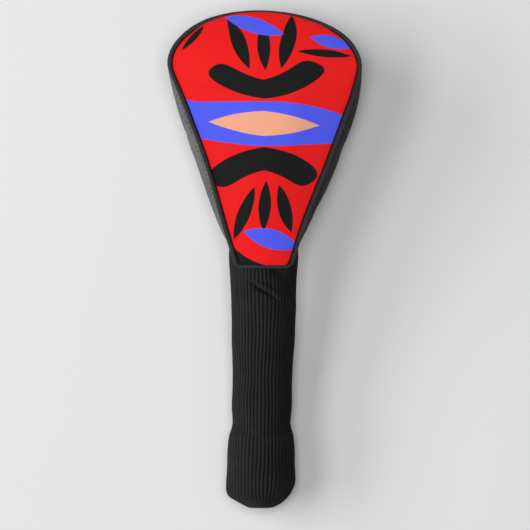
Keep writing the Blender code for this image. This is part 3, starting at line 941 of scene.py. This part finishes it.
class Field:
    """A number that varies over a surface, made with Math nodes."""

    def __init__(self, tree, socket):
        self.tree, self.socket = tree, socket

    def math(self, operation, *others, clamp=False):
        node = self.tree.nodes.new("ShaderNodeMath")
        node.operation = operation
        node.use_clamp = clamp
        for slot, value in zip(node.inputs, (self, *others)):
            if isinstance(value, Field):
                self.tree.links.new(value.socket, slot)
            else:
                slot.default_value = value
        return Field(self.tree, node.outputs[0])

    def __add__(self, other):
        return self.math("ADD", other)

    def __sub__(self, other):
        return self.math("SUBTRACT", other)

    def __mul__(self, other):
        return self.math("MULTIPLY", other)

    def __truediv__(self, other):
        return self.math("DIVIDE", other)

    def rounded(self, other, radius):
        """The higher of two fields, with the corner between them rounded off."""
        return self.math("SMOOTH_MAX", other, radius)

    def below(self, limit, soft):
        """1 where this is under the limit, with a narrow soft edge."""
        return ((self * -1.0 + limit) / soft + 0.5).math("ADD", 0.0, clamp=True)


def lowest(a, *rest):
    for b in rest:
        a = a.math("MINIMUM", b)
    return a


def highest(a, *rest):
    for b in rest:
        a = a.math("MAXIMUM", b)
    return a


def new_material(name, roughness, specular, sheen=0.0):
    material = bpy.data.materials.new(name)
    material.use_nodes = True
    shader = material.node_tree.nodes["Principled BSDF"]
    shader.inputs["Roughness"].default_value = roughness
    shader.inputs["Specular IOR Level"].default_value = specular
    shader.inputs["Sheen Weight"].default_value = sheen
    shader.inputs["Sheen Roughness"].default_value = 0.4
    return material, material.node_tree, shader


def uv_fields(tree):
    node = tree.nodes.new("ShaderNodeUVMap")
    node.uv_map = "flat"
    split = tree.nodes.new("ShaderNodeSeparateXYZ")
    tree.links.new(node.outputs["UV"], split.inputs[0])
    return Field(tree, split.outputs["X"]), Field(tree, split.outputs["Y"])


def texture(tree, kind, scale, detail=2.0, stretch=None, **settings):
    """A noise, wave or Voronoi texture in object space, as a Field of its main output."""
    place = tree.nodes.new("ShaderNodeTexCoord")
    node = tree.nodes.new("ShaderNodeTex" + kind)
    source = place.outputs["Object"]
    if stretch:
        mapping = tree.nodes.new("ShaderNodeMapping")
        mapping.inputs["Scale"].default_value = stretch
        tree.links.new(source, mapping.inputs["Vector"])
        source = mapping.outputs["Vector"]
    tree.links.new(source, node.inputs["Vector"])
    node.inputs["Scale"].default_value = scale
    if "Detail" in node.inputs:
        node.inputs["Detail"].default_value = detail
    for key, value in settings.items():
        setattr(node, key, value)
    return Field(tree, node.outputs["Distance" if kind == "Voronoi" else 0])


def bump(tree, shader, height, distance, strength=1.0):
    node = tree.nodes.new("ShaderNodeBump")
    node.inputs["Distance"].default_value = distance
    node.inputs["Strength"].default_value = strength
    tree.links.new(height.socket, node.inputs["Height"])
    tree.links.new(node.outputs["Normal"], shader.inputs["Normal"])


def mix_colour(tree, factor, a, b):
    """Colour a where factor is 0 and b where it is 1; a and b are colours or sockets."""
    node = tree.nodes.new("ShaderNodeMix")
    node.data_type = "RGBA"
    tree.links.new(factor.socket, node.inputs["Factor"])
    for slot, value in ((node.inputs[6], a), (node.inputs[7], b)):
        if isinstance(value, tuple):
            slot.default_value = (*value, 1.0)
        else:
            tree.links.new(value, slot)
    return node.outputs[2]


def tint(tree, shader, factor, a, b):
    """A base colour that is a where factor is 0 and b where it is 1."""
    tree.links.new(mix_colour(tree, factor, a, b), shader.inputs["Base Color"])


def grey(value):
    return (value, value, value)


def linear(*rgb):
    """A linear colour from 0 to 255 display values."""
    return tuple((c / 255 / 12.92) if c < 10.3 else ((c / 255 + 0.055) / 1.055) ** 2.4 for c in rgb)


RED = linear(234, 27, 27)
BLUE = linear(80, 92, 238)
PEACH = linear(238, 168, 136)
INK = linear(22, 24, 23)


def circle(x, y, centre_x, centre_y, radius):
    """Signed distance to a circle: below 0 inside."""
    dx, dy = x - centre_x, y - centre_y
    return (dx * dx + dy * dy).math("SQRT") - radius


def oval(x, y, centre_x, centre_y, half_width, half_height):
    """Below 0 inside an ellipse."""
    dx, dy = (x - centre_x) / half_width, (y - centre_y) / half_height
    return ((dx * dx + dy * dy).math("SQRT") - 1.0) * min(half_width, half_height)


def leaf(x, y, centre_x, centre_y, degrees, half_length, half_width):
    """A pointed lens: where two equal circles overlap."""
    turn = math.radians(degrees)
    dx, dy = x - centre_x, y - centre_y
    along = dx * math.cos(turn) + dy * math.sin(turn)
    across = dy * math.cos(turn) - dx * math.sin(turn)
    radius = (half_length**2 + half_width**2) / (2 * half_width)
    offset = radius - half_width
    return highest(circle(along, across, 0.0, offset, radius), circle(along, across, 0.0, -offset, radius))


def ogee(x, y, tip_x, tip_y, spread, radius, up=1.0):
    """A bowl with a soft point at its bottom: where two equal circles beside each other overlap."""
    middle_y = tip_y + math.sqrt(radius**2 - spread**2) * up
    left, right = (circle(x, y, tip_x + shift, middle_y, radius) for shift in (-spread, spread))
    return highest(left, right)


# The print's leaves, in mm and degrees: x, y, direction, half length and half width.
BLACK_LEAVES = (
    (-16.5, 147, 108, 19, 5.0),
    (0, 145, 90, 17, 4.4),
    (16.5, 148, 73, 19.5, 5.0),
    (41, 140, -4, 19, 2.6),
    (-47.5, 151, 46, 12, 2.2),
    (-14, 32, 70, 19, 4.6),
    (0, 37, 90, 17, 4.2),
    (14, 35, 108, 17, 4.6),
)
BLUE_LEAVES = ((-5, 159, -18, 20, 5.6), (46, 148, -12, 15, 4.4), (5.5, 14.3, -16, 20, 6.6))


def printed_fabric():
    """A generic geometric print: a band with a lens, crescents and leaves. Distances are in mm."""
    material, tree, shader = new_material("printed_fabric", 0.8, 0.12)
    u, v = uv_fields(tree)
    span = FLAT_SPAN / MM
    x, y = (u - FLAT_ORIGIN[0]) * span, (v - FLAT_ORIGIN[1]) * span
    right, left = x.math("MAXIMUM", 0.0), x.math("MINIMUM", 0.0)

    bowl = ogee(x, y, -1.8, 107.7, 13.2, 89).rounded(ogee(x, y, -1.8, 121.8, 12.9, 60) * -1.0, 5.0)
    bowl = bowl.rounded(oval(x, y, 2.2, 123, 43, 16), 9.0)
    arch = ogee(x, y, -1.8, 77.2, 13.2, 89, -1).rounded(ogee(x, y, -1.8, 60.8, 12.9, 60, -1) * -1.0, 5.0)
    arch = arch.rounded(oval(x, y, -2.8, 61, 39, 17.5), 9.0)
    patch = highest(circle(x, y, 16.0, 49.6, 55.0) * -1.0, y - 13.0, x - 16.0)
    black = lowest(bowl, arch, patch, *(leaf(x, y, *sizes) for sizes in BLACK_LEAVES))

    corner = (x + 42.0).math("MINIMUM", 0.0)
    top_edge = y - 107.1 + right * right * 0.0032 - corner * corner * 0.012
    band = highest(top_edge, y * -1.0 + 77.2 + left * left * 0.0026 + right * right * 0.001)
    blue = lowest(band, *(leaf(x, y, *sizes) for sizes in BLUE_LEAVES))
    tilted = y + x * 0.034 + 1.1
    lens = highest(ogee(x, tilted, -2.4, 84.9, 8, 128.2), ogee(x, tilted, -2.4, 101.6, 8, 128.2, -1))
    soft = 0.35
    colour = mix_colour(tree, black.below(0.0, soft), RED, INK)
    colour = mix_colour(tree, blue.below(0.0, soft), colour, BLUE)
    colour = mix_colour(tree, lens.below(0.0, soft), colour, PEACH)
    shade = texture(tree, "Noise", 30, 3) * 0.05
    colour = mix_colour(tree, shade, colour, (0.02, 0.01, 0.01))
    tree.links.new(colour, shader.inputs["Base Color"])
    weave = (x * 9.0).math("SINE") * (y * 9.0).math("SINE")
    bump(tree, shader, weave * 0.5 + texture(tree, "Noise", 220, 3), 0.05 * MM, 0.35)
    return material


def leather(name, tone, cell, roughness, specular):
    """Synthetic leather with a pebbled grain; tone is its mean grey and cell the grain's size."""
    material, tree, shader = new_material(name, roughness, specular)
    pebble = texture(tree, "Voronoi", 1 / cell, feature="SMOOTH_F1")
    pores = texture(tree, "Noise", 2600, 2)
    folds = texture(tree, "Noise", 90, 3, stretch=(1.0, 0.35, 1.0))
    height = pebble * -1.0 + pores * 0.25 + folds * 0.8
    bump(tree, shader, height, 0.3 * MM, 0.8)
    patches = texture(tree, "Noise", 55, 4)
    light = (tone * 1.5, tone * 1.55, tone * 1.52)
    tint(tree, shader, patches * pebble * 1.6, light, grey(tone * 0.75))
    rough = patches * 0.16 + pebble * 0.12 + (roughness - 0.12)
    tree.links.new(rough.socket, shader.inputs["Roughness"])
    return material


KNIT_ROW = 1.55 * MM  # one row of stitches


def rib_knit():
    """Black acrylic knit: each rib is a column of V stitches, with painted shade in the grooves between
    them.
    """
    material, tree, shader = new_material("rib_knit", 0.9, 0.1, 0.04)
    u, v = uv_fields(tree)
    rib, row = u * FLAT_RIBS, v * (FLAT_LENGTH / KNIT_ROW)
    across = (rib.math("FRACT") - 0.5).math("ABSOLUTE")
    stitch = ((row + across * 1.3) * (2 * math.pi)).math("SINE") * 0.5 + 0.5
    gap = (across * 2.0).math("POWER", 4.0)
    groove = (across * -1.0 + 0.09).math("MAXIMUM", 0.0) * 4.0
    twist = texture(tree, "Noise", 1900, 2)
    height = stitch * 0.55 - gap * 0.8 - groove + twist * 0.5
    bump(tree, shader, height, 0.3 * MM, 0.8)
    wear = texture(tree, "Noise", 60, 4)
    # Painted shade: the colour follows the stitches' height, darker in the gaps and grooves between the ribs
    # and lighter on the stitches; the wear noise adds random tone.
    tone = height * 0.55 + wear * 0.3
    tint(tree, shader, tone.math("ADD", 0.1, clamp=True), grey(0.0015), grey(0.021))
    return material


def woven(name, dark, light, threads):
    """A woven tape or elastic."""
    material, tree, shader = new_material(name, 0.8, 0.3, 0.1)
    warp = texture(tree, "Wave", threads, 0, bands_direction="Y")
    weft = texture(tree, "Wave", threads, 0, bands_direction="X")
    height = warp * weft + texture(tree, "Noise", 1500, 2) * 0.3
    bump(tree, shader, height, 0.1 * MM, 0.7)
    # Painted shade: the colour follows the weave's height, darker where the threads dip under each other;
    # the noise part is random tone.
    tint(tree, shader, height, dark, light)
    return material


def fleece_lining():
    material, tree, shader = new_material("lining_fleece", 0.95, 0.1, 0.5)
    pile = texture(tree, "Noise", 900, 4) + texture(tree, "Noise", 120, 3) * 0.5
    bump(tree, shader, pile, 0.4 * MM, 0.9)
    tint(tree, shader, pile * 0.6, (0.04, 0.04, 0.042), (0.1, 0.1, 0.105))
    return material


def thread():
    material, tree, shader = new_material("thread", 0.55, 0.3, 0.1)
    ply = texture(tree, "Wave", 1400, 0, bands_direction="DIAGONAL")
    bump(tree, shader, ply, 0.06 * MM, 0.8)
    # Painted shade: the thread is darker in the grooves between its plies.
    tint(tree, shader, ply, grey(0.03), grey(0.08))
    return material


# ---- Stage, light and camera ----


FLOOR_HALF = 6.0


def make_floor():
    mesh = bpy.data.meshes.new("floor")
    corners = [(x * FLOOR_HALF, y * FLOOR_HALF, 0) for x, y in ((-1, -1), (1, -1), (1, 1), (-1, 1))]
    mesh.from_pydata(corners, [], [(0, 1, 2, 3)])
    material, _, shader = new_material("floor", 0.9, 0.1)
    shader.inputs["Base Color"].default_value = (0.9, 0.9, 0.9, 1.0)
    mesh.materials.append(material)
    add_object("floor", mesh)


def area_light(name, place, target, width, height, power):
    data = bpy.data.lights.new(name, "AREA")
    data.shape = "RECTANGLE"
    data.size, data.size_y, data.energy = width, height, power
    obj = add_object(name, data)
    obj.location = place
    obj.rotation_euler = (Vector(target) - Vector(place)).to_track_quat("-Z", "Y").to_euler()
    return obj


def light_only(light, *pieces):
    """Makes a light reach only these pieces."""
    receivers = bpy.data.collections.new(f"{light.name}_receivers")
    for piece in pieces:
        receivers.objects.link(piece)
    light.light_linking.receiver_collection = receivers


VIEW_WIDTH = 361.5 * MM  # what the square picture spans at the height of VIEW_CENTRE
VIEW_CENTRE = Vector((0.3 * MM, -3.2 * MM, 45 * MM))
LENS = 300.0
SENSOR = 36.0


def make_camera():
    data = bpy.data.cameras.new("camera")
    data.lens, data.sensor_width = LENS, SENSOR
    obj = add_object("camera", data)
    obj.location = VIEW_CENTRE + Vector((0, 0, VIEW_WIDTH * LENS / SENSOR))
    data.clip_end = 20.0
    bpy.context.scene.camera = obj


def make_lights():
    area_light("key_low", (-3.66, 0.3, 1.65), (0, 0, 0.02), 4.2, 1.2, 86)
    area_light("key_high", (-2.57, 0.3, 3.08), (0, 0, 0.02), 4.2, 1.2, 46)
    area_light("top", (0.0, 0.1, 2.4), (0, 0, 0), 1.0, 1.0, 21.5)
    world = bpy.data.worlds.new("studio")
    world.use_nodes = True
    world.node_tree.nodes["Background"].inputs["Color"].default_value = (1.0, 1.0, 1.0, 1.0)
    world.node_tree.nodes["Background"].inputs["Strength"].default_value = 0.135
    bpy.context.scene.world = world
    bpy.context.scene.view_settings.view_transform = "Standard"


make_camera()
make_lights()
make_floor()
PRINT = printed_fabric()
LEATHER = leather("side_leather", 0.034, 1.5 * MM, 0.6, 0.06)
WELT = leather("welt_leather", 0.022, 0.8 * MM, 0.62, 0.25)
FLEECE = fleece_lining()
KNITTED = rib_knit()
ELASTIC = woven("elastic", (0.5, 0.5, 0.48), (0.8, 0.8, 0.77), 500)
TAPE = woven("binding_tape", grey(0.01), grey(0.04), 600)
CROWN = make_crown(PRINT, FLEECE)
SOLE = make_sole(LEATHER, FLEECE)
SIDES = []
for SIDE, SUFFIX in ((1, "right"), (-1, "left")):
    SIDES.append(make_side(SIDE, SUFFIX, LEATHER))
    make_side_liner(SIDE, SUFFIX, FLEECE)
WELTS = make_piping(WELT)
seam_stitches(SIDES, thread())
KNIT_PIECES = make_upper_knit(KNITTED), make_lower_knit(KNITTED)
make_band("neck_band", "neck_elastic", "hood", ELASTIC, "elastic")
make_band("neck_tape", "neck_binding", "hood", TAPE, "binding_tape")
make_band("cuff_band", "cuff_elastic", "cuff_body", ELASTIC, "elastic")
light_only(area_light("side_key", (-2.6, 0.2, 1.3), (0, 0, 0.03), 2.4, 1.2, 300), SOLE, *SIDES)
light_only(area_light("knit_key", (-2.6, -0.1, 1.3), (0, -0.06, 0.03), 2.4, 1.2, 80), *KNIT_PIECES)
light_only(area_light("crown_fill", (3.4, 0.2, 1.9), (0, 0, 0.04), 3.0, 1.4, 66), CROWN, *WELTS)
